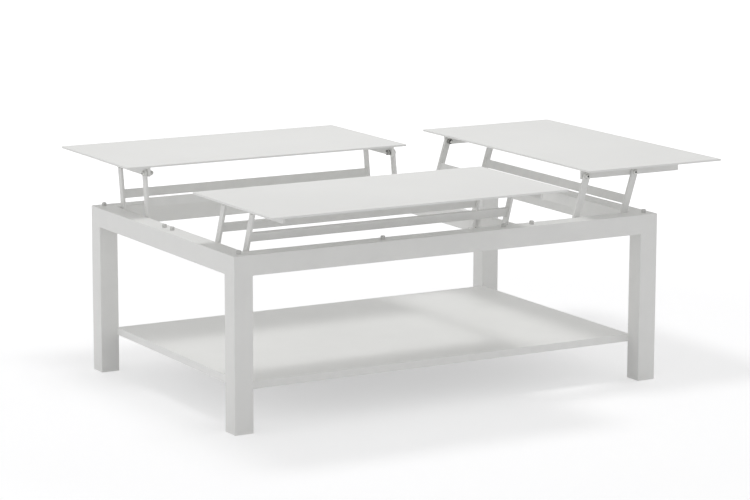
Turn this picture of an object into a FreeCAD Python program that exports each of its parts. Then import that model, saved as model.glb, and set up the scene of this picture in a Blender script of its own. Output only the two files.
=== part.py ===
import FreeCAD, Part
import math
import os

# A low table with three separate tops. Each top stands on two pairs of parallel arms and
# swings outwards and upwards from its closed place on the frame. The tops are modelled raised.
# Sizes are in millimetres and angles in degrees. X runs along the frame, Z is up.

# Welded frame of square tube
FRAME_LENGTH = 1200.0
FRAME_WIDTH = 800.0
FRAME_HEIGHT = 429.0
TUBE_SIZE = 50.0
TUBE_WALL = 3.0
TUBE_EDGE_RADIUS = 2.0
MID_RAIL_WIDTH = 14.0
MID_RAIL_WALL = 2.0
MID_RAIL_OFFSET = 5.0

# Foot caps pushed into the legs
FOOT_FLANGE = 5.0
FOOT_PLUG_DEPTH = 20.0
FOOT_PLUG_CLEARANCE = 0.2

# Shelf of flat sheet on four edge bars
SHELF_HEIGHT = 95.0
SHELF_EDGE_HEIGHT = 15.5
SHELF_EDGE_WIDTH = 12.0
SHELF_SHEET = 3.0
SHELF_LAP = 4.0
SHELF_RIB_WIDTH = 20.0
SHELF_RIB_WALL = 2.0
SHELF_RIB_OFFSET = 250.0

# Three table tops of thin flat panel
TOP_THICKNESS = 5.0
TOP_OVERHANG = 5.0
TOP_GAP = 2.0
TOP_CORNER_RADIUS = 3.0
TOP_EDGE_RADIUS = 0.8

# Two flat bars on edge welded under each top
UNDER_RAIL_THICKNESS = 6.0
UNDER_RAIL_HEIGHT = 28.0
UNDER_RAIL_RADIUS = 0.8
UNDER_RAIL_NOSE = 13.0
UNDER_RAIL_END_SETBACK = 83.0

# Swinging arms of flat bar, joined in pairs by a crossbar
ARM_LENGTH = 147.0
ARM_WIDTH = 18.0
ARM_THICKNESS = 6.0
ARM_GAP = 10.0
ARM_SPACING = 145.0
LOWER_PIVOT_RISE = 9.0
UPPER_PIVOT_DROP = 20.5
STOP_CLEARANCE = 0.5
CROSSBAR_HEIGHT = 23.0
CROSSBAR_THICKNESS = 6.0
CROSSBAR_OFFSET = 74.0
FRONT_CROSSBAR_OFFSET = 78.5

# Lean of each top's arms where they come to rest on the rail
BACK_LEAN = 9.0
FRONT_LEAN = 20.0
END_LEAN = 17.0

# Pivot hardware
BOLT_DIAMETER = 8.0
PIVOT_CLEARANCE = 0.05
AXIAL_CLEARANCE = 0.1
BOLT_HEAD_DIAMETER = 14.0
BOLT_HEAD_HEIGHT = 4.4
BOLT_HEAD_RIM = 1.0
SOCKET_FLATS = 5.0
SOCKET_DEPTH = 2.6
BOLT_TIP = 3.0
NUT_FLATS = 13.0
NUT_HEIGHT = 7.0
NUT_COLLAR_DIAMETER = 11.5
NUT_COLLAR_HEIGHT = 2.5
WASHER_DIAMETER = 16.0
WASHER_THICKNESS = 1.0
SPACER_DIAMETER = 14.0
INSERT_DIAMETER = 11.0
INSERT_LENGTH = 9.0
INSERT_FLANGE_DIAMETER = 14.0
INSERT_FLANGE = 1.0
FIT_CLEARANCE = 0.1

# Rubber bumpers that the closed tops rest on
BUMPER_DIAMETER = 11.5
BUMPER_HEIGHT = 9.0
BUMPER_ROUNDING = 2.0
BUMPER_STEM_DIAMETER = 6.0
BUMPER_STEM_LENGTH = 6.0
BUMPER_SEAM_OFFSET = 43.0
BUMPER_END_OFFSET = 38.0
BUMPER_MIDDLE_OFFSET = 386.0
BUMPER_SIDE_OFFSET = 22.0
REST_CLEARANCE = 0.3

# Places worked out from the sizes, measured from the middle of the frame
half_length = FRAME_LENGTH / 2
half_width = FRAME_WIDTH / 2
tube_middle = TUBE_SIZE / 2
rail_bottom = FRAME_HEIGHT - TUBE_SIZE
end_inside = half_length - TUBE_SIZE
side_inside = half_width - TUBE_SIZE
top_depth = (FRAME_WIDTH + 2 * TOP_OVERHANG - TOP_GAP) / 2
seam = half_length + TOP_OVERHANG - top_depth - TOP_GAP / 2
mid_rail_face = seam - MID_RAIL_OFFSET

# Swing of the arms, with U measured outwards from the closed joint between the tops
lower_pivot_z = rail_bottom + LOWER_PIVOT_RISE
closed_pivot_z = FRAME_HEIGHT + BUMPER_HEIGHT + REST_CLEARANCE - UPPER_PIVOT_DROP
closed_lean = math.acos((closed_pivot_z - lower_pivot_z) / ARM_LENGTH)
closed_reach = ARM_LENGTH * math.sin(closed_lean)


def raised(lean_angle, crossbar_offset):
    """Places of a top whose arms rest on the rail at a lean: its pivots, how far out and how high."""
    lean = math.radians(lean_angle)
    reach = ARM_LENGTH * math.sin(lean)
    lean_at_rail = (FRAME_HEIGHT - lower_pivot_z) * math.tan(lean) + ARM_WIDTH / 2 / math.cos(lean)
    outer = side_inside - STOP_CLEARANCE - lean_at_rail
    upper_z = lower_pivot_z + ARM_LENGTH * math.cos(lean)
    return {
        "lean": lean_angle,
        "crossbar": crossbar_offset,
        "swing": lean_angle + math.degrees(closed_lean),
        "reach": reach,
        "lift_out": reach + closed_reach,
        "edge_u": TOP_GAP / 2 + reach + closed_reach,
        "upper_z": upper_z,
        "underside": upper_z + UPPER_PIVOT_DROP,
        "pivots": {"inner": outer - ARM_SPACING, "outer": outer},
    }


back_place = raised(BACK_LEAN, CROSSBAR_OFFSET)
front_place = raised(FRONT_LEAN, FRONT_CROSSBAR_OFFSET)
end_place = raised(END_LEAN, CROSSBAR_OFFSET)

# The raised tops move the middle of the whole table away from the middle of the frame
frame_x = -end_place["lift_out"] / 2
frame_y = (front_place["lift_out"] - back_place["lift_out"]) / 2

# Distances from a support's face inwards, across the arms
arm_outside = ARM_GAP
arm_inside = ARM_GAP + ARM_THICKNESS
under_rail_outside = arm_inside + AXIAL_CLEARANCE + WASHER_THICKNESS
under_rail_inside = under_rail_outside + UNDER_RAIL_THICKNESS

ORIGIN = FreeCAD.Vector(0, 0, 0)
X_AXIS = FreeCAD.Vector(1, 0, 0)
Y_AXIS = FreeCAD.Vector(0, 1, 0)
Z_AXIS = FreeCAD.Vector(0, 0, 1)


def moved(shape, x=0.0, y=0.0, z=0.0):
    copy = shape.copy()
    copy.translate(FreeCAD.Vector(x, y, z))
    return copy


def turned(shape, axis, angle):
    copy = shape.copy()
    copy.rotate(ORIGIN, axis, angle)
    return copy


def block(low, high):
    size = [b - a for a, b in zip(low, high)]
    return Part.makeBox(*size, FreeCAD.Vector(*low))


def rod(diameter, length, start=0.0):
    return Part.makeCylinder(diameter / 2, length, FreeCAD.Vector(0, 0, start), Z_AXIS)


def prism(points, height, z):
    corners = [FreeCAD.Vector(x, y, z) for x, y in points]
    wire = Part.makePolygon(corners + corners[:1])
    return Part.Face(wire).extrude(FreeCAD.Vector(0, 0, height))


def hexagon(flats, height):
    radius = flats / math.sqrt(3)
    angles = [math.radians(60 * k) for k in range(6)]
    return prism([(radius * math.cos(a), radius * math.sin(a)) for a in angles], height, 0.0)


def rounded_block(width, depth, height, radius):
    """A block centred on Z whose four upright edges are rounded."""
    body = block((-width / 2, -depth / 2, 0.0), (width / 2, depth / 2, height))
    upright = [e for e in body.Edges if abs(e.BoundBox.ZLength - height) < 1e-6]
    return body.makeFillet(radius, upright)


def tube_along_z(width, depth, length, wall, radius):
    bore = block((wall - width / 2, wall - depth / 2, 0.0), (width / 2 - wall, depth / 2 - wall, length))
    return rounded_block(width, depth, length, radius).cut(bore)


def tube_along_x(width, height, length, wall, radius):
    """A tube from X 0 to its length, width across Y and height across Z, centred on X."""
    return turned(tube_along_z(height, width, length, wall, radius), Y_AXIS, 90)


def tube_along_y(width, height, length, wall, radius):
    return turned(tube_along_x(width, height, length, wall, radius), Z_AXIS, 90)


def notched_outline(lap):
    """The shelf's outline: a rectangle that laps past the legs' inner faces, notched around them."""
    far_x = end_inside + lap
    far_y = side_inside + lap
    quarter = [(far_x, side_inside), (end_inside, side_inside), (end_inside, far_y)]
    points = list(quarter)
    points += [(-x, y) for x, y in reversed(quarter)]
    points += [(-x, -y) for x, y in quarter]
    points += [(x, -y) for x, y in reversed(quarter)]
    return points


# Frame pieces
def leg():
    """A leg with its outer corner towards +X +Y: a tube below, its welded corner block above."""
    lower = rounded_block(TUBE_SIZE, TUBE_SIZE, rail_bottom - FOOT_FLANGE, TUBE_EDGE_RADIUS)
    low = (-tube_middle, -tube_middle, rail_bottom)
    high = (tube_middle, tube_middle, FRAME_HEIGHT)
    upper = block(low, high)
    outer = []
    for edge in upper.Edges:
        middle = edge.CenterOfMass
        on_x = abs(middle.x - high[0]) < 1e-6
        on_y = abs(middle.y - high[1]) < 1e-6
        on_top = abs(middle.z - high[2]) < 1e-6
        if on_x + on_y + on_top == 2:
            outer.append(edge)
    upper = upper.makeFillet(TUBE_EDGE_RADIUS, outer)
    inner = tube_middle - TUBE_WALL
    bore = block((-inner, -inner, FOOT_FLANGE), (inner, inner, FRAME_HEIGHT - TUBE_WALL))
    return moved(lower, z=FOOT_FLANGE).fuse(upper).removeSplitter().cut(bore)


def foot_cap():
    flange = rounded_block(TUBE_SIZE, TUBE_SIZE, FOOT_FLANGE, TUBE_EDGE_RADIUS)
    size = TUBE_SIZE - 2 * TUBE_WALL - 2 * FOOT_PLUG_CLEARANCE
    plug = block((-size / 2, -size / 2, FOOT_FLANGE), (size / 2, size / 2, FOOT_FLANGE + FOOT_PLUG_DEPTH))
    return flange.fuse(plug)


def long_rail(side):
    rail = tube_along_x(TUBE_SIZE, TUBE_SIZE, 2 * end_inside, TUBE_WALL, TUBE_EDGE_RADIUS)
    return moved(rail, -end_inside, side * (half_width - tube_middle), FRAME_HEIGHT - tube_middle)


def end_rail(side):
    rail = tube_along_y(TUBE_SIZE, TUBE_SIZE, 2 * side_inside, TUBE_WALL, TUBE_EDGE_RADIUS)
    return moved(rail, side * (half_length - tube_middle), -side_inside, FRAME_HEIGHT - tube_middle)


def mid_rail():
    rail = tube_along_y(MID_RAIL_WIDTH, TUBE_SIZE, 2 * side_inside, MID_RAIL_WALL, TUBE_EDGE_RADIUS)
    return moved(rail, mid_rail_face + MID_RAIL_WIDTH / 2, -side_inside, FRAME_HEIGHT - tube_middle)


def shelf_edges():
    """Four flat bars mitred where they meet, each lapping onto the legs at both ends."""
    inset = SHELF_EDGE_WIDTH - SHELF_LAP
    corner = (end_inside, side_inside)
    inner = (end_inside - inset, side_inside - inset)
    front = [(end_inside, side_inside + SHELF_LAP), corner, inner]
    end = [(end_inside + SHELF_LAP, side_inside), corner, inner]
    back_bar = front + [(-x, y) for x, y in reversed(front)]
    right_bar = end + [(x, -y) for x, y in reversed(end)]
    back = prism(back_bar, SHELF_EDGE_HEIGHT, SHELF_HEIGHT)
    right = prism(right_bar, SHELF_EDGE_HEIGHT, SHELF_HEIGHT)
    half_turn = 180
    return {
        "back": back,
        "front": turned(back, Z_AXIS, half_turn),
        "right": right,
        "left": turned(right, Z_AXIS, half_turn),
    }


def shelf_sheet():
    return prism(notched_outline(SHELF_LAP), SHELF_SHEET, SHELF_HEIGHT + SHELF_EDGE_HEIGHT)


def shelf_ribs():
    reach = side_inside + SHELF_LAP - SHELF_EDGE_WIDTH
    rib = tube_along_y(SHELF_RIB_WIDTH, SHELF_EDGE_HEIGHT, 2 * reach, SHELF_RIB_WALL, SHELF_RIB_WALL / 2)
    height = SHELF_HEIGHT + SHELF_EDGE_HEIGHT / 2
    return [moved(rib, side * SHELF_RIB_OFFSET, -reach, height) for side in (-1, 1)]


def bumper_places():
    """Corners of the frame, beside the joints between the tops, and half way along the sides."""
    corner_x = half_length - tube_middle
    corner_y = half_width - tube_middle
    along = [-corner_x, seam - BUMPER_MIDDLE_OFFSET, seam - BUMPER_SEAM_OFFSET]
    along += [seam + BUMPER_END_OFFSET, corner_x]
    places = [(x, side * corner_y) for side in (-1, 1) for x in along]
    places += [(-corner_x, side * BUMPER_SIDE_OFFSET) for side in (-1, 1)]
    return places


def bumper():
    button = rod(BUMPER_DIAMETER, BUMPER_HEIGHT)
    rim = [e for e in button.Edges if abs(e.BoundBox.ZMin - BUMPER_HEIGHT) < 1e-6]
    button = button.makeFillet(BUMPER_ROUNDING, rim)
    return button.fuse(rod(BUMPER_STEM_DIAMETER, BUMPER_STEM_LENGTH, -BUMPER_STEM_LENGTH))


def bumper_holes():
    hole = rod(BUMPER_STEM_DIAMETER + FIT_CLEARANCE, 2 * BUMPER_STEM_LENGTH, -BUMPER_STEM_LENGTH)
    return [moved(hole, x, y, FRAME_HEIGHT) for x, y in bumper_places()]


# Pivot hardware, made along +Z from the face it seats on
def button_bolt(shank):
    """A button head below Z 0 with a hexagon socket, and its shank above."""
    radius = BOLT_HEAD_DIAMETER / 2
    flat = SOCKET_FLATS / math.sqrt(3) + FIT_CLEARANCE
    rim = FreeCAD.Vector(radius, 0, -BOLT_HEAD_RIM)
    crown = FreeCAD.Vector(flat, 0, -BOLT_HEAD_HEIGHT)
    bend = math.sqrt(0.5)
    arc_x = flat + (radius - flat) * bend
    arc_z = BOLT_HEAD_RIM + (BOLT_HEAD_HEIGHT - BOLT_HEAD_RIM) * bend
    dome = Part.Arc(rim, FreeCAD.Vector(arc_x, 0, -arc_z), crown).toShape()
    corner = FreeCAD.Vector(radius, 0, 0)
    centre = FreeCAD.Vector(0, 0, -BOLT_HEAD_HEIGHT)
    outline = [Part.makeLine(ORIGIN, corner), Part.makeLine(corner, rim), dome]
    outline += [Part.makeLine(crown, centre), Part.makeLine(centre, ORIGIN)]
    head = Part.Face(Part.Wire(outline)).revolve(ORIGIN, Z_AXIS, 360)
    head = head.cut(moved(hexagon(SOCKET_FLATS, SOCKET_DEPTH), z=-BOLT_HEAD_HEIGHT))
    return head.fuse(rod(BOLT_DIAMETER, shank))


def lock_nut():
    """A hexagon nut with a locking collar, from its seat upwards."""
    body = hexagon(NUT_FLATS, NUT_HEIGHT)
    collar = rod(NUT_COLLAR_DIAMETER, NUT_COLLAR_HEIGHT, NUT_HEIGHT)
    bore = rod(BOLT_DIAMETER + FIT_CLEARANCE, NUT_HEIGHT + NUT_COLLAR_HEIGHT)
    return body.fuse(collar).cut(bore)


def ring(outside, inside, length):
    return rod(outside, length).cut(rod(inside, length))


def threaded_insert():
    """A flanged insert: the flange lies on the rail from Z 0 down, the body goes up into it."""
    body = rod(INSERT_DIAMETER, INSERT_LENGTH)
    flange = rod(INSERT_FLANGE_DIAMETER, INSERT_FLANGE, -INSERT_FLANGE)
    bore = rod(BOLT_DIAMETER + FIT_CLEARANCE, INSERT_LENGTH + INSERT_FLANGE, -INSERT_FLANGE)
    return body.fuse(flange).cut(bore)


# Top assembly, made with U along X, the hinge lines along Y and the closed joint at X 0
def arm_bar():
    """A flat bar with round ends and a hole at each pivot, upright on its lower pivot."""
    radius = ARM_WIDTH / 2
    low_left = FreeCAD.Vector(-radius, 0, 0)
    low_right = FreeCAD.Vector(radius, 0, 0)
    high_left = FreeCAD.Vector(-radius, 0, ARM_LENGTH)
    high_right = FreeCAD.Vector(radius, 0, ARM_LENGTH)
    foot = Part.Arc(low_left, FreeCAD.Vector(0, 0, -radius), low_right).toShape()
    head = Part.Arc(high_right, FreeCAD.Vector(0, 0, ARM_LENGTH + radius), high_left).toShape()
    edges = [foot, Part.makeLine(low_right, high_right), head, Part.makeLine(high_left, low_left)]
    bar = Part.Face(Part.Wire(edges)).extrude(FreeCAD.Vector(0, ARM_THICKNESS, 0))
    hole = turned(rod(BOLT_DIAMETER + 2 * PIVOT_CLEARANCE, ARM_THICKNESS), X_AXIS, -90)
    return bar.cut(hole).cut(moved(hole, z=ARM_LENGTH))


def leaned(shape, pivot_u, place):
    """Leans a shape that stands on the origin outwards, and sets it on a lower pivot."""
    return moved(turned(shape, Y_AXIS, place["lean"]), x=pivot_u, z=lower_pivot_z)


def arm(half_span, side, pivot_u, place):
    near = side * (half_span - arm_outside)
    far = side * (half_span - arm_inside)
    return leaned(moved(arm_bar(), y=min(near, far)), pivot_u, place)


def crossbar(half_span, pivot_u, place):
    reach = half_span - arm_inside
    half = CROSSBAR_THICKNESS / 2
    low = (-half, -reach, place["crossbar"] - CROSSBAR_HEIGHT / 2)
    high = (half, reach, place["crossbar"] + CROSSBAR_HEIGHT / 2)
    return leaned(block(low, high), pivot_u, place)


def top_panel(low_v, high_v, place):
    panel = rounded_block(top_depth, high_v - low_v, TOP_THICKNESS, TOP_CORNER_RADIUS)
    rims = [e for e in panel.Edges if e.BoundBox.ZLength < 1e-6]
    panel = panel.makeFillet(TOP_EDGE_RADIUS, rims)
    return moved(panel, place["edge_u"] + top_depth / 2, (low_v + high_v) / 2, place["underside"])


def under_rail(half_span, side, place):
    """A flat bar on edge, from just past the inner pivot outwards, with a hole at each upper pivot."""
    start = place["pivots"]["inner"] + place["reach"] - UNDER_RAIL_NOSE
    length = place["edge_u"] + top_depth - UNDER_RAIL_END_SETBACK - start
    bar = turned(rounded_block(UNDER_RAIL_HEIGHT, UNDER_RAIL_THICKNESS, length, UNDER_RAIL_RADIUS), Y_AXIS, 90)
    middle_v = side * (half_span - (under_rail_outside + under_rail_inside) / 2)
    bar = moved(bar, start, middle_v, place["underside"] - UNDER_RAIL_HEIGHT / 2)
    hole = turned(rod(BOLT_DIAMETER + FIT_CLEARANCE, 2 * half_span, -half_span), X_AXIS, -90)
    for pivot_u in place["pivots"].values():
        bar = bar.cut(moved(hole, x=pivot_u + place["reach"], z=place["upper_z"]))
    return bar


def at_pivots(shape, half_span, depth, outwards, places):
    """Copies hardware to both sides of the given pivots, at a depth in from the support's face."""
    copies = []
    for side in (-1, 1):
        pointed = turned(shape, X_AXIS, -90 * side * (1 if outwards else -1))
        copies += [moved(pointed, u, side * (half_span - depth), z) for u, z in places]
    return copies


def lower_hardware(half_span, place):
    """Pieces fixed to the frame at the lower pivots, from the rail's face inwards."""
    places = [(u, lower_pivot_z) for u in place["pivots"].values()]
    bore = BOLT_DIAMETER + FIT_CLEARANCE
    spacer = ring(SPACER_DIAMETER, bore, ARM_GAP - INSERT_FLANGE - AXIAL_CLEARANCE)
    shank = arm_inside + AXIAL_CLEARANCE + INSERT_LENGTH - BOLT_TIP
    insert_hole = rod(INSERT_DIAMETER + FIT_CLEARANCE, INSERT_LENGTH, 0.0)
    return {
        "inserts": at_pivots(threaded_insert(), half_span, 0.0, True, places),
        "spacers": at_pivots(spacer, half_span, INSERT_FLANGE, False, places),
        "bolts": at_pivots(button_bolt(shank), half_span, arm_inside + AXIAL_CLEARANCE, True, places),
        "holes": at_pivots(insert_hole, half_span, 0.0, True, places),
    }


def upper_hardware(half_span, place):
    """Pieces fixed to the top at the upper pivots, from outside the arm inwards."""
    places = [(u + place["reach"], place["upper_z"]) for u in place["pivots"].values()]
    head_seat = arm_outside - AXIAL_CLEARANCE
    nut_end = under_rail_inside + NUT_HEIGHT + NUT_COLLAR_HEIGHT
    bolt = button_bolt(nut_end + BOLT_TIP - head_seat)
    washer = ring(WASHER_DIAMETER, BOLT_DIAMETER + FIT_CLEARANCE, WASHER_THICKNESS)
    return {
        "bolts": at_pivots(bolt, half_span, head_seat, False, places),
        "nuts": at_pivots(lock_nut(), half_span, under_rail_inside, False, places),
        "washers": at_pivots(washer, half_span, arm_inside + AXIAL_CLEARANCE, False, places),
    }


# Where each top stands: turned about Z, with its hinge lines centred between its supports
long_centre = (mid_rail_face - end_inside) / 2
long_half_span = (mid_rail_face + end_inside) / 2
long_near = seam - TOP_GAP / 2 - long_centre
long_far = half_length + TOP_OVERHANG + long_centre
end_reach = half_width + TOP_OVERHANG
TOPS = [
    {"name": "back_top", "place": back_place, "turn": 90, "x": long_centre, "half_span": long_half_span,
     "low_v": -long_near, "high_v": long_far, "sides": {1: "left", -1: "right"}},
    {"name": "front_top", "place": front_place, "turn": -90, "x": long_centre, "half_span": long_half_span,
     "low_v": -long_far, "high_v": long_near, "sides": {1: "right", -1: "left"}},
    {"name": "end_top", "place": end_place, "turn": 0, "x": seam, "half_span": side_inside,
     "low_v": -end_reach, "high_v": end_reach, "sides": {1: "back", -1: "front"}},
]


def in_place(shape, top):
    return moved(turned(shape, Z_AXIS, top["turn"]), x=top["x"])


def export(name, solids):
    """Writes one named piece, or a group of like pieces, in the table's own frame."""
    solids = solids if isinstance(solids, list) else [solids]
    shape = solids[0] if len(solids) == 1 else Part.makeCompound(solids)
    moved(shape, x=frame_x, y=frame_y).exportStep("parts/" + name + ".step")


def export_frame():
    hardware = {"inserts": [], "spacers": [], "bolts": [], "holes": []}
    for top in TOPS:
        for kind, pieces in lower_hardware(top["half_span"], top["place"]).items():
            hardware[kind] += [in_place(piece, top) for piece in pieces]
    holes = Part.makeCompound(hardware["holes"] + bumper_holes())
    corner_x = half_length - tube_middle
    corner_y = half_width - tube_middle
    corners = [("back_right", 1, 1, 0), ("back_left", -1, 1, 90)]
    corners += [("front_left", -1, -1, 180), ("front_right", 1, -1, 270)]
    caps = []
    for name, side_x, side_y, turn in corners:
        post = moved(turned(leg(), Z_AXIS, turn), side_x * corner_x, side_y * corner_y)
        export("leg_" + name, post.cut(holes))
        caps.append(moved(foot_cap(), side_x * corner_x, side_y * corner_y))
    export("foot_caps", caps)
    rails = {"front_rail": long_rail(-1), "back_rail": long_rail(1)}
    rails.update({"left_rail": end_rail(-1), "right_rail": end_rail(1), "mid_rail": mid_rail()})
    for name, rail in rails.items():
        export(name, rail.cut(holes))
    for side, bar in shelf_edges().items():
        export("shelf_edge_" + side, bar)
    export("shelf_sheet", shelf_sheet())
    export("shelf_ribs", shelf_ribs())
    export("rest_bumpers", [moved(bumper(), x, y, FRAME_HEIGHT) for x, y in bumper_places()])
    export("lower_pivot_inserts", hardware["inserts"])
    export("lower_pivot_spacers", hardware["spacers"])
    export("lower_pivot_bolts", hardware["bolts"])


def export_top(top):
    name = top["name"]
    half_span = top["half_span"]
    place = top["place"]
    export(name + "_panel", in_place(top_panel(top["low_v"], top["high_v"], place), top))
    for side, word in top["sides"].items():
        export(name + "_under_rail_" + word, in_place(under_rail(half_span, side, place), top))
        for pair, pivot_u in place["pivots"].items():
            piece = arm(half_span, side, pivot_u, place)
            export(name + "_" + pair + "_arm_" + word, in_place(piece, top))
    for pair, pivot_u in place["pivots"].items():
        export(name + "_" + pair + "_crossbar", in_place(crossbar(half_span, pivot_u, place), top))
    for kind, pieces in upper_hardware(half_span, place).items():
        export(name + "_pivot_" + kind, [in_place(piece, top) for piece in pieces])


os.makedirs("parts", exist_ok=True)
export_frame()
for table_top in TOPS:
    export_top(table_top)
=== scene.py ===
import math

import bmesh
import bpy
import numpy as np
from mathutils import Euler, Matrix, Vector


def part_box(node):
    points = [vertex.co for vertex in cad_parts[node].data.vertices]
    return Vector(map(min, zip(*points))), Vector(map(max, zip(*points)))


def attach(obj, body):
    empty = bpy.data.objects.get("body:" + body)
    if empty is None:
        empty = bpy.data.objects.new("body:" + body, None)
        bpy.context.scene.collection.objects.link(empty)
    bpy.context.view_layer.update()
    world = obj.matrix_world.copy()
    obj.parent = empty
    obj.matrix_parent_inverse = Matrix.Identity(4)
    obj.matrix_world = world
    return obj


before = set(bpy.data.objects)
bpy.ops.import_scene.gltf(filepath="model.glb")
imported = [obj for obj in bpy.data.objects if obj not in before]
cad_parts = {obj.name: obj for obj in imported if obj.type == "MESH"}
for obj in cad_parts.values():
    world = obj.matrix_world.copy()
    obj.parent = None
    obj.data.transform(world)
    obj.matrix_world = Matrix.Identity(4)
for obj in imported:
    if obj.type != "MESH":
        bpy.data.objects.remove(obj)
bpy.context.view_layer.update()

# The frame is four legs and four rails of square aluminium tube with a slim rail across, butt welded
# and ground flush, then powder coated white. The powder is baked on, so the coat is satin, with a
# faint orange peel and a slightly uneven tone. Noise mostly lies between NOISE_LOW and NOISE_HIGH.
NOISE_LOW, NOISE_HIGH = 0.3, 0.7
PEEL_MM, PEEL_DEPTH_MM = 3.0, 0.12
COAT_SMOOTH, COAT_ROUGH, COAT_IOR = 0.42, 0.52, 1.5


def hex_colour(code):
    """sRGB hex to the linear colour that the shaders work in."""
    srgb = np.array([int(code[i:i + 2], 16) for i in (1, 3, 5)]) / 255.0
    linear = np.where(srgb <= 0.04045, srgb / 12.92, ((srgb + 0.055) / 1.055) ** 2.4)
    return (*linear.tolist(), 1.0)


def add(tree, kind, inputs=None, **settings):
    """Adds one node: settings are its own properties, inputs are values or (node, output) links."""
    node = tree.nodes.new(kind)
    for name, value in settings.items():
        setattr(node, name, value)
    for name, value in (inputs or {}).items():
        if isinstance(value, tuple) and isinstance(value[0], bpy.types.Node):
            tree.links.new(value[0].outputs[value[1]], node.inputs[name])
        else:
            node.inputs[name].default_value = value
    return node


def empty_material(name):
    """A new material with an empty node tree."""
    material = bpy.data.materials.new(name)
    material.use_nodes = True
    material.node_tree.nodes.clear()
    return material, material.node_tree


def wear(material, names):
    """Puts one material on CAD nodes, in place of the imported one."""
    for name in names:
        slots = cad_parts[name].data.materials
        slots.clear()
        slots.append(material)


def powder_coat(name, light, dark, mottle_mm):
    """Baked powder: mottle moves the tone from dark to light and the gloss with it, peel is the bump.
    The real peel is under 1 mm across and is drawn 3 mm across, so that it shows at all."""
    material, tree = empty_material(name)
    place = add(tree, "ShaderNodeTexCoord")
    mottle = add(tree, "ShaderNodeTexNoise", {
        "Vector": (place, "Object"), "Scale": 1000.0 / mottle_mm, "Detail": 4.0, "Roughness": 0.6})
    tone = add(tree, "ShaderNodeValToRGB", {"Fac": (mottle, "Fac")})
    low, high = tone.color_ramp.elements
    low.position, low.color = NOISE_LOW, hex_colour(dark)
    high.position, high.color = NOISE_HIGH, hex_colour(light)
    gloss = add(tree, "ShaderNodeMapRange", {
        "Value": (mottle, "Fac"), "From Min": NOISE_LOW, "From Max": NOISE_HIGH,
        "To Min": COAT_SMOOTH, "To Max": COAT_ROUGH})
    peel = add(tree, "ShaderNodeTexNoise", {
        "Vector": (place, "Object"), "Scale": 1000.0 / PEEL_MM, "Detail": 2.0, "Roughness": 0.5})
    bump = add(tree, "ShaderNodeBump", {
        "Height": (peel, "Fac"), "Strength": 0.25, "Distance": PEEL_DEPTH_MM / 1000.0})
    coat = add(tree, "ShaderNodeBsdfPrincipled", {
        "Base Color": (tone, "Color"), "Roughness": (gloss, "Result"), "Normal": (bump, "Normal"),
        "IOR": COAT_IOR})
    add(tree, "ShaderNodeOutputMaterial", {"Surface": (coat, "BSDF")})
    return material


white_coat = powder_coat("white_powder_coat", "#ECECEA", "#E8E8E6", mottle_mm=90.0)
wear(white_coat, ["leg_front_left", "leg_front_right", "leg_back_left", "leg_back_right",
                  "front_rail", "back_rail", "left_rail", "right_rail", "mid_rail"])

# Each leg ends in a pushed-in foot cap of white polyethylene. It is injection moulded, so it is matt
# with a fine spark-eroded grain, and as white as the coat.
MOULDED_SPREAD, MOULDED_IOR = 0.06, 1.51


def moulded(name, light, dark, grain_mm, depth_mm, rough):
    """Plastic or rubber from a spark-eroded mould: the grain is the bump, and tone and gloss follow it
    faintly. Real grain is under 0.2 mm across and is drawn 1 to 2 mm across, so that it shows."""
    material, tree = empty_material(name)
    place = add(tree, "ShaderNodeTexCoord")
    grain = add(tree, "ShaderNodeTexNoise", {
        "Vector": (place, "Object"), "Scale": 1000.0 / grain_mm, "Detail": 3.0, "Roughness": 0.65})
    tone = add(tree, "ShaderNodeValToRGB", {"Fac": (grain, "Fac")})
    low, high = tone.color_ramp.elements
    low.position, low.color = NOISE_LOW, hex_colour(dark)
    high.position, high.color = NOISE_HIGH, hex_colour(light)
    gloss = add(tree, "ShaderNodeMapRange", {
        "Value": (grain, "Fac"), "From Min": NOISE_LOW, "From Max": NOISE_HIGH,
        "To Min": rough - MOULDED_SPREAD, "To Max": rough + MOULDED_SPREAD})
    bump = add(tree, "ShaderNodeBump", {
        "Height": (grain, "Fac"), "Strength": 0.4, "Distance": depth_mm / 1000.0})
    skin = add(tree, "ShaderNodeBsdfPrincipled", {
        "Base Color": (tone, "Color"), "Roughness": (gloss, "Result"), "Normal": (bump, "Normal"),
        "IOR": MOULDED_IOR})
    add(tree, "ShaderNodeOutputMaterial", {"Surface": (skin, "BSDF")})
    return material


polyethylene = moulded("white_polyethylene", "#F0F0EE", "#EAEAE8",
                       grain_mm=1.5, depth_mm=0.05, rough=0.55)
wear(polyethylene, ["foot_caps"])

# The shelf is a flat aluminium sheet on four mitred edge bars with two ribs below, coated like the
# frame. The coat on the wide sheet lies a little flatter, so its mottle is broader. Its tone is a
# little lighter than the frame's coat, as painted light on the shelf between the tops.
shelf_coat_painted_light = powder_coat("white_powder_coat_shelf", "#F3F3F1", "#EFEFED", mottle_mm=160.0)
wear(shelf_coat_painted_light, ["shelf_sheet", "shelf_ribs", "shelf_edge_front", "shelf_edge_back",
                  "shelf_edge_left", "shelf_edge_right"])

# Small grey rubber buttons on the rails and leg tops carry the closed tops. They are compression
# moulded and dusty matt, darker in the pores.
rubber = moulded("grey_rubber", "#D9D9D7", "#C3C3C1", grain_mm=2.0, depth_mm=0.08, rough=0.78)
wear(rubber, ["rest_bumpers"])

# The lower pivots are stainless button-head bolts in blackened threaded inserts, with natural nylon
# sleeves between the rail and the arm. The steel is cold formed, so its satin sheen varies in small
# patches. The hexagon sockets and the corners under the heads are painted dark as shade.
STEEL_PATCH_MM, STEEL_SPREAD, STEEL_METALLIC = 4.0, 0.08, 0.9
# Reach of the painted shade, and the open shares of sky where it is full and where it is gone.
PAINTED_SHADE_REACH, PAINTED_SHADE_FULL, PAINTED_SHADE_GONE = 0.003, 0.3, 0.55


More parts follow.
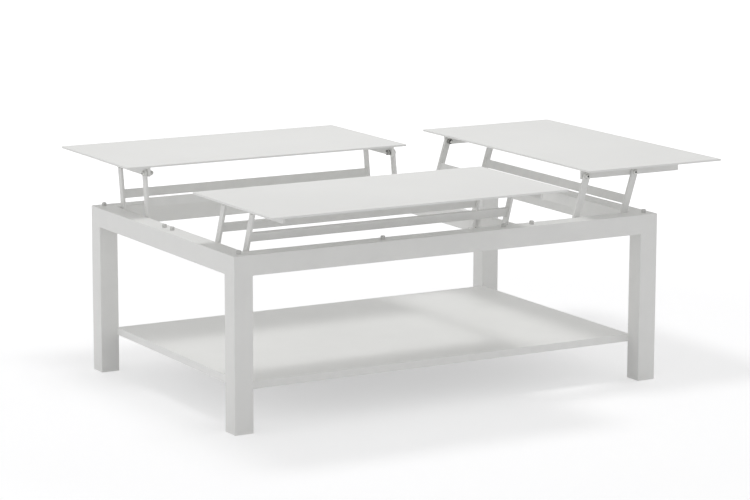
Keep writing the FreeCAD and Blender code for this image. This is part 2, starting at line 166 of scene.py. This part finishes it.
def satin_steel(name, light, dark, shade_colour, rough):
    """Cold-formed steel: tone and roughness move together in patches. What is closed in is painted
    shade:
    it goes from the steel's tone to the shade colour as its open share of sky falls between the two
    limits."""
    material, tree = empty_material(name)
    place = add(tree, "ShaderNodeTexCoord")
    patch = add(tree, "ShaderNodeTexNoise", {
        "Vector": (place, "Object"), "Scale": 1000.0 / STEEL_PATCH_MM, "Detail": 4.0,
        "Roughness": 0.6})
    tone = add(tree, "ShaderNodeValToRGB", {"Fac": (patch, "Fac")})
    low, high = tone.color_ramp.elements
    low.position, low.color = 0.35, hex_colour(dark)
    high.position, high.color = NOISE_HIGH, hex_colour(light)
    # Painted shade: the less open sky round a point, the nearer its colour goes to the shade colour.
    sky = add(tree, "ShaderNodeAmbientOcclusion", {"Distance": PAINTED_SHADE_REACH})
    unshaded = add(tree, "ShaderNodeMapRange", {
        "Value": (sky, "AO"), "From Min": PAINTED_SHADE_FULL, "From Max": PAINTED_SHADE_GONE},
        interpolation_type="SMOOTHSTEP")
    shade = add(tree, "ShaderNodeMix", {
        "Factor": (unshaded, "Result"), "A": hex_colour(shade_colour), "B": (tone, "Color")}, data_type="RGBA")
    gloss = add(tree, "ShaderNodeMapRange", {
        "Value": (patch, "Fac"), "From Min": NOISE_LOW, "From Max": NOISE_HIGH,
        "To Min": rough - STEEL_SPREAD, "To Max": rough + STEEL_SPREAD})
    steel = add(tree, "ShaderNodeBsdfPrincipled", {
        "Base Color": (shade, "Result"), "Roughness": (gloss, "Result"),
        "Metallic": STEEL_METALLIC})
    add(tree, "ShaderNodeOutputMaterial", {"Surface": (steel, "BSDF")})
    return material


# The last colour of each steel is its painted shade in sockets and under heads.
black_steel = satin_steel("blackened_steel", "#4A4A4C", "#303032", "#141415", rough=0.42)
stainless = satin_steel("stainless_steel", "#E2E2DF", "#D0D0CD", "#161616", rough=0.45)
nylon = moulded("natural_nylon", "#DCDAD2", "#CFCDC5", grain_mm=1.2, depth_mm=0.03, rough=0.45)
wear(stainless, ["lower_pivot_bolts"])
wear(black_steel, ["lower_pivot_inserts"])
wear(nylon, ["lower_pivot_spacers"])

# Each top stands on an inner and an outer pair of flat-bar arms. A crossbar of flat bar is welded
# between the two arms of a pair, all round its ends, and the coat runs smoothly over the fillets. The
# weld is flat on the face that turns up close under the top when it shuts. Sizes are in metres.
WELD_ON_EDGE, WELD_ON_FACE, WELD_FLAT = 0.004, 0.003, 0.0004
WELD_RIPPLE, RIPPLE_DEPTH = 0.0018, 0.04
SIDE_STEPS, BEAD_STEPS, MERGE_WITHIN = 14, 60, 1e-7
TOPS = {
    "back": {"outwards": (0.0, 1.0, 0.0), "hinge": 0, "sides": ("left", "right")},
    "front": {"outwards": (0.0, -1.0, 0.0), "hinge": 0, "sides": ("left", "right")},
    "end": {"outwards": (1.0, 0.0, 0.0), "hinge": 1, "sides": ("front", "back")},
}
arm_coat = powder_coat("white_powder_coat_arms", "#EAEAE8", "#E5E5E3", mottle_mm=40.0)


def fillet_outline(count=9, root=0.1):
    """A fillet weld's section in units of its leg, as height on one plate and reach on the other: from
    toe to toe half way between a straight line and a hollow quarter circle, and back behind the
    corner by the root."""
    turn = np.linspace(0.0, 0.5 * np.pi, count)
    line = turn / (0.5 * np.pi)
    height = 0.5 * (1.0 - line) + 0.5 * (1.0 - np.sin(turn))
    reach = 0.5 * line + 0.5 * (1.0 - np.cos(turn))
    return np.append(height, [-root, -root, 1.0]), np.append(reach, [1.0, -root, -root])


def crossbar_fillets(node, hinge, outwards):
    """Two closed rings. Each goes round the bar's four sides and, with its foot on the corner, a
    quarter turn at each corner, and carries the fillet's section from the bar's surface out along the
    arm's face. The bar's own directions come from its eight corners."""
    flat = np.empty(3 * len(node.data.vertices))
    node.data.vertices.foreach_get("co", flat)
    corners = np.unique(flat.reshape(-1, 3).round(6), axis=0)
    middle = corners.mean(axis=0)
    by_height = corners[np.argsort(corners[:, 2])]
    rise = by_height[4:].mean(axis=0) - by_height[:4].mean(axis=0)
    up = rise / np.linalg.norm(rise)
    across = np.cross(up, np.eye(3)[hinge])
    across *= np.sign(across @ np.array(outwards))
    half = np.abs((corners - middle) @ np.stack([across, up], axis=-1)).max(axis=0)
    start = np.array([(1.0, -1.0), (1.0, 1.0), (-1.0, 1.0), (-1.0, -1.0)])
    finish = np.roll(start, -1, axis=0)
    share = np.linspace(0.0, 1.0, SIDE_STEPS, endpoint=False)
    along_side = start[:, None] + share[None, :, None] * (finish - start)[:, None]
    on_corner = np.repeat(finish[:, None], SIDE_STEPS, axis=1)
    foot = np.concatenate([along_side, on_corner], axis=1).reshape(-1, 2) * half
    side = np.arange(4)[:, None] * 90.0
    turn = np.radians(np.concatenate([side + 0.0 * share, side + 90.0 * share], axis=1).ravel())
    lean = np.stack([np.cos(turn), np.sin(turn)], axis=-1)
    on_face = np.where(lean[:, 0] > 0.0, WELD_FLAT, WELD_ON_FACE)
    legs = lean * np.stack([on_face, np.full(len(turn), WELD_ON_EDGE)], axis=-1)
    path = np.append(0.0, np.cumsum(np.linalg.norm(np.diff(foot + legs, axis=0), axis=1)))
    legs *= 1.0 + RIPPLE_DEPTH * np.sin(2.0 * np.pi * path / WELD_RIPPLE)[:, None]
    tall = np.linalg.norm(legs, axis=1)
    height, reach = fillet_outline()
    spread = foot[:, None, :] + legs[:, None, :] * reach[None, :, None]
    rings = []
    for end, inwards in ((corners[:, hinge].min(), 1.0), (corners[:, hinge].max(), -1.0)):
        ring = middle + spread[..., :1] * across + spread[..., 1:] * up
        ring[..., hinge] = end + inwards * tall[:, None] * height[None, :]
        rings.append(ring)
    return rings


def bead(start, finish, on_plate, on_bar, leg):
    """A short weld bead along a straight line: the fillet's section swells from a point to its full
    leg within about one leg of each end, with a faint ripple."""
    start, finish = np.array(start), np.array(finish)
    share = np.linspace(0.0, 1.0, BEAD_STEPS)
    length = np.linalg.norm(finish - start)
    size = leg * (1.0 - np.abs(2.0 * share - 1.0) ** (length / leg)) ** 0.5
    size *= 1.0 + RIPPLE_DEPTH * np.sin(2.0 * np.pi * share * length / WELD_RIPPLE)
    height, reach = fillet_outline()
    section = height[:, None] * np.array(on_bar) + reach[:, None] * np.array(on_plate)
    return start + share[:, None, None] * (finish - start) + size[:, None, None] * section[None]


def welds(name, grids, closed, body):
    """One smooth coated piece from grids of points, each wrapped round its section and, where closed,
    along its path too. A grid whose enclosed volume comes out negative has its faces turned round, and
    the points that meet at a bead's ends are merged."""
    points, faces, first = [], [], 0
    for grid in grids:
        rows, columns = grid.shape[:2]
        row = np.arange(rows if closed else rows - 1)[:, None]
        column = np.arange(columns)[None, :]
        after, beside = (row + 1) % rows, (column + 1) % columns
        quads = np.stack([row * columns + column, after * columns + column,
                          after * columns + beside, row * columns + beside], axis=-1).reshape(-1, 4)
        flat = grid.reshape(-1, 3)
        a, b, c, d = np.moveaxis(flat[quads] - flat.mean(axis=0), 1, 0)
        volume = np.sum(a * (np.cross(b, c) + np.cross(c, d)))
        points.append(flat)
        faces.append(first + (quads if volume > 0.0 else quads[:, ::-1]))
        first += len(flat)
    mesh = bpy.data.meshes.new(name)
    mesh.from_pydata(np.concatenate(points).tolist(), [], np.concatenate(faces).tolist())
    shape = bmesh.new()
    shape.from_mesh(mesh)
    bmesh.ops.remove_doubles(shape, verts=shape.verts, dist=MERGE_WITHIN)
    shape.to_mesh(mesh)
    shape.free()
    mesh.polygons.foreach_set("use_smooth", np.ones(len(mesh.polygons), dtype=bool))
    mesh.materials.append(arm_coat)
    piece = bpy.data.objects.new(name, mesh)
    bpy.context.scene.collection.objects.link(piece)
    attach(piece, body)


for top, lie in TOPS.items():
    for pair in ("inner", "outer"):
        bar = f"{top}_top_{pair}_crossbar"
        wear(arm_coat, [f"{top}_top_{pair}_arm_{side}" for side in lie["sides"]] + [bar])
        rings = crossbar_fillets(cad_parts[bar], lie["hinge"], lie["outwards"])
        welds(f"{top}_{pair}_crossbar_welds", rings, True, f"{top}_{pair}_arms")

# Each top is a thin aluminium panel with eased edges, coated on all sides. Two flat bars stand on edge
# under it, held by rows of short stitch welds, and the arms' upper ends are bolted to them through
# washers with stainless lock nuts. A black nylon collar in each nut grips the bolt's end.
STITCH_LENGTH, STITCH_LEG, STITCHES = 0.03, 0.0025, 5
SOCKET_DEPTH, NUT_FACE, PAST_ALL = 0.0027, 0.0093, 1.0
# The bolts' sockets and the closed-in steel round the nuts' seats are painted dark as shade.
PIVOT_PATCH_MM, PIVOT_SHADE_REACH = 3.0, 0.005
PIVOT_SMOOTH, PIVOT_ROUGH = 0.38, 0.52
top_coat = powder_coat("white_powder_coat_tops", "#ECECEA", "#E9E9E7", mottle_mm=220.0)


def stitch_row(rail, hinge):
    """Beads at even steps along both faces of a bar on edge, in the corner under the panel."""
    low, high = np.array(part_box(rail))
    travel = 1 - hinge
    step = (high[travel] - low[travel] - STITCH_LENGTH) / (STITCHES + 1)
    row = []
    for side, face in ((-1.0, low[hinge]), (1.0, high[hinge])):
        for place in low[travel] + step * np.arange(1, STITCHES + 1):
            start = np.zeros(3)
            start[hinge], start[travel], start[2] = face, place, high[2]
            finish = start + STITCH_LENGTH * np.eye(3)[travel]
            row.append(bead(start, finish, side * np.eye(3)[hinge], (0.0, 0.0, -1.0), STITCH_LEG))
    return row


def pivot_steel(name, node, hinge, dark_from, shade_to, shade_full, shade_gone):
    """Satin stainless steel on the bolts or nuts of one top. Depth runs along the hinge, inwards from
    the node's two ends. Steel deeper than dark_from is a black end face. Up to the depth shade_to, what
    is closed in is painted shade: it goes black as its open share of sky falls from shade_gone to
    shade_full."""
    low, high = (corner[hinge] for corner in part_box(node))
    material, tree = empty_material(name)
    place = add(tree, "ShaderNodeTexCoord")
    apart = add(tree, "ShaderNodeSeparateXYZ", {"Vector": (place, "Object")})
    along = add(tree, "ShaderNodeMath", {0: (apart, "XYZ"[hinge]), 1: (low + high) / 2.0},
                operation="SUBTRACT")
    along = add(tree, "ShaderNodeMath", {0: (along, "Value")}, operation="ABSOLUTE")
    depth = add(tree, "ShaderNodeMath", {0: (high - low) / 2.0, 1: (along, "Value")},
                operation="SUBTRACT")
    patch = add(tree, "ShaderNodeTexNoise", {
        "Vector": (place, "Object"), "Scale": 1000.0 / PIVOT_PATCH_MM, "Detail": 4.0})
    tone = add(tree, "ShaderNodeValToRGB", {"Fac": (patch, "Fac")})
    dull, bright = tone.color_ramp.elements
    dull.position, dull.color = 0.35, hex_colour("#CCCCC9")
    bright.position, bright.color = NOISE_HIGH, hex_colour("#DEDEDB")
    # Painted shade: closed-in steel goes black by its open share of sky.
    sky = add(tree, "ShaderNodeAmbientOcclusion", {"Distance": PIVOT_SHADE_REACH})
    shut = add(tree, "ShaderNodeMapRange", {
        "Value": (sky, "AO"), "From Min": shade_full, "From Max": shade_gone,
        "To Min": 1.0, "To Max": 0.0}, interpolation_type="SMOOTHSTEP")
    near_end = add(tree, "ShaderNodeMath", {0: (depth, "Value"), 1: shade_to}, operation="LESS_THAN")
    shut = add(tree, "ShaderNodeMath", {0: (shut, "Result"), 1: (near_end, "Value")},
               operation="MULTIPLY")
    face = add(tree, "ShaderNodeMath", {0: (depth, "Value"), 1: dark_from}, operation="GREATER_THAN")
    dark = add(tree, "ShaderNodeMath", {0: (shut, "Value"), 1: (face, "Value")}, operation="MAXIMUM")
    shade = add(tree, "ShaderNodeMix", {
        "Factor": (dark, "Value"), "A": (tone, "Color"), "B": hex_colour("#121213")},
        data_type="RGBA")
    gloss = add(tree, "ShaderNodeMapRange", {
        "Value": (patch, "Fac"), "From Min": NOISE_LOW, "From Max": NOISE_HIGH,
        "To Min": PIVOT_SMOOTH, "To Max": PIVOT_ROUGH})
    metal = add(tree, "ShaderNodeMath", {0: STEEL_METALLIC, 1: (dark, "Value")},
                operation="SUBTRACT", use_clamp=True)
    steel = add(tree, "ShaderNodeBsdfPrincipled", {
        "Base Color": (shade, "Result"), "Roughness": (gloss, "Result"),
        "Metallic": (metal, "Value")})
    add(tree, "ShaderNodeOutputMaterial", {"Surface": (steel, "BSDF")})
    return material


for top, lie in TOPS.items():
    hinge = lie["hinge"]
    rails = [f"{top}_top_under_rail_{side}" for side in lie["sides"]]
    bolts, nuts = f"{top}_top_pivot_bolts", f"{top}_top_pivot_nuts"
    bolt_steel = pivot_steel(f"stainless_bolt_{top}", bolts, hinge, dark_from=PAST_ALL,
                             shade_to=SOCKET_DEPTH, shade_full=0.6, shade_gone=0.9)
    nut_steel = pivot_steel(f"stainless_lock_nut_{top}", nuts, hinge, dark_from=NUT_FACE,
                            shade_to=PAST_ALL, shade_full=0.65, shade_gone=0.95)
    wear(top_coat, [f"{top}_top_panel"])
    wear(arm_coat, rails)
    wear(bolt_steel, [bolts])
    wear(nut_steel, [nuts])
    wear(nylon, [f"{top}_top_pivot_washers"])
    stitches = [stitch for rail in rails for stitch in stitch_row(rail, hinge)]
    welds(f"{top}_stitch_welds", stitches, False, f"{top}_leaf")

# The floor is a plain white studio sweep. It keeps the table's shadow, and only the camera and
# reflections see the added white that takes it to a clean background away from the table.
FLOOR_HALF, FLOOR_POINTS = 30.0, 9
ROUND_TABLE, OUT_OF_SHADOW = 1.2, 3.0
WHITE_NEAR, WHITE_FAR = 0.45, 0.75

line = np.linspace(-FLOOR_HALF, FLOOR_HALF, FLOOR_POINTS)
x, y = np.meshgrid(line, line, indexing="ij")
points = np.stack([x, y, np.zeros_like(x)], axis=-1).reshape(-1, 3)
step = np.arange(FLOOR_POINTS - 1)
corner = (step[:, None] * FLOOR_POINTS + step[None, :]).ravel()
faces = np.stack([corner, corner + FLOOR_POINTS, corner + FLOOR_POINTS + 1, corner + 1], axis=-1)
sweep = bpy.data.meshes.new("studio_floor")
sweep.from_pydata(points.tolist(), [], faces.tolist())
floor = bpy.data.objects.new("studio_floor", sweep)
bpy.context.scene.collection.objects.link(floor)
paper, tree = empty_material("white_studio_paper")
place = add(tree, "ShaderNodeTexCoord")
reach = add(tree, "ShaderNodeVectorMath", {"Vector": (place, "Object")}, operation="LENGTH")
white = add(tree, "ShaderNodeMapRange", {
    "Value": (reach, "Value"), "From Min": ROUND_TABLE, "From Max": OUT_OF_SHADOW,
    "To Min": WHITE_NEAR, "To Max": WHITE_FAR}, interpolation_type="SMOOTHSTEP")
path = add(tree, "ShaderNodeLightPath")
seen = add(tree, "ShaderNodeMath", {0: (path, "Is Camera Ray"), 1: (path, "Is Glossy Ray")},
           operation="ADD")
seen = add(tree, "ShaderNodeMath", {0: (seen, "Value"), 1: (path, "Is Transmission Ray")},
           operation="ADD", use_clamp=True)
lift = add(tree, "ShaderNodeMath", {0: (seen, "Value"), 1: (white, "Result")}, operation="MULTIPLY")
tone = add(tree, "ShaderNodeMix", {
    "Factor": (seen, "Value"), "A": hex_colour("#F3F3F4"), "B": hex_colour("#D4D4D5")},
    data_type="RGBA")
matt = add(tree, "ShaderNodeBsdfDiffuse", {"Color": (tone, "Result"), "Roughness": 0.0})
glow = add(tree, "ShaderNodeEmission", {
    "Color": (1.0, 1.0, 1.0, 1.0), "Strength": (lift, "Value")})
both = add(tree, "ShaderNodeAddShader", {0: (matt, "BSDF"), 1: (glow, "Emission")})
add(tree, "ShaderNodeOutputMaterial", {"Surface": (both, "Shader")})
floor.data.materials.append(paper)

# Studio light: a white room all round, two round softboxes high over the table, the main one to the
# left and to the back, and a broad weak panel at each end. Lamps are placed from the frame's middle.
FRAME_MIDDLE = (-0.093463, 0.013641)
WALL_LEVEL, CEILING_LEVEL = 0.86, 0.47
TABLE_HEART = (0.0, 0.0, 0.3)


def lamp(name, spot, target, size, watts, shape):
    """An area lamp at a spot, turned so that its face looks at the target."""
    data = bpy.data.lights.new(name, "AREA")
    data.shape = shape
    data.size = size
    data.energy = watts
    lamp_object = bpy.data.objects.new(name, data)
    bpy.context.scene.collection.objects.link(lamp_object)
    away = np.array(spot) - np.array(target)
    turn = math.atan2(away[0], -away[1])
    tip = math.atan2(math.hypot(away[0], away[1]), away[2])
    aim = Euler((tip, 0.0, turn)).to_matrix().to_4x4()
    lamp_object.matrix_world = Matrix.Translation(spot) @ aim


main_over = (FRAME_MIDDLE[0] - 0.27, FRAME_MIDDLE[1] + 0.5)
near_over = (FRAME_MIDDLE[0] + 0.1, FRAME_MIDDLE[1] + 0.1)
lamp("softbox", (*main_over, 4.2), (*main_over, 0.0), size=1.05, watts=26.5, shape="DISK")
lamp("near_softbox", (*near_over, 3.0), (*near_over, 0.0), size=0.75, watts=7.9, shape="DISK")
lamp("left_panel", (-6.0, 0.6, 2.4), TABLE_HEART, size=3.0, watts=23.0, shape="SQUARE")
lamp("right_panel", (6.0, 0.6, 2.8), TABLE_HEART, size=3.0, watts=32.0, shape="SQUARE")
world = bpy.data.worlds.new("white_room")
world.use_nodes = True
bpy.context.scene.world = world
room = world.node_tree
room.nodes.clear()
place = add(room, "ShaderNodeTexCoord")
rise = add(room, "ShaderNodeSeparateXYZ", {"Vector": (place, "Generated")})
walls = add(room, "ShaderNodeMapRange", {
    "Value": (rise, "Z"), "To Min": WALL_LEVEL, "To Max": CEILING_LEVEL})
path = add(room, "ShaderNodeLightPath")
level = add(room, "ShaderNodeMapRange", {
    "Value": (path, "Is Camera Ray"), "To Min": (walls, "Result"), "To Max": 1.0})
sky = add(room, "ShaderNodeBackground", {
    "Color": (1.0, 1.0, 1.0, 1.0), "Strength": (level, "Result")})
add(room, "ShaderNodeOutputWorld", {"Surface": (sky, "Background")})
bpy.context.scene.view_settings.view_transform = "Standard"

# The camera stands to the front left, a little above the tops, with a long lens.
# Its place and lens come from fitting the frame's and the tops' corners to the photograph.
VIEW_TURN, VIEW_DOWN, VIEW_ROLL = -29.8519, 10.7454, 0.1574
VIEW_FROM = (FRAME_MIDDLE[0] - 3.62063, FRAME_MIDDLE[1] - 6.32182, 1.70592)
FOCAL_PIXELS, PICTURE_WIDTH, SENSOR_MM = 2910.46, 750.0, 36.0
FURTHEST_SEEN = 200.0

view = bpy.data.cameras.new("camera")
view.sensor_fit = "HORIZONTAL"
view.sensor_width = SENSOR_MM
view.lens = FOCAL_PIXELS / PICTURE_WIDTH * SENSOR_MM
view.clip_end = FURTHEST_SEEN
camera = bpy.data.objects.new("camera", view)
bpy.context.scene.collection.objects.link(camera)
level_aim = Euler((math.radians(90.0 - VIEW_DOWN), 0.0, math.radians(VIEW_TURN))).to_matrix()
roll = Matrix.Rotation(math.radians(VIEW_ROLL), 4, "Z")
camera.matrix_world = Matrix.Translation(VIEW_FROM) @ level_aim.to_4x4() @ roll
bpy.context.scene.camera = camera
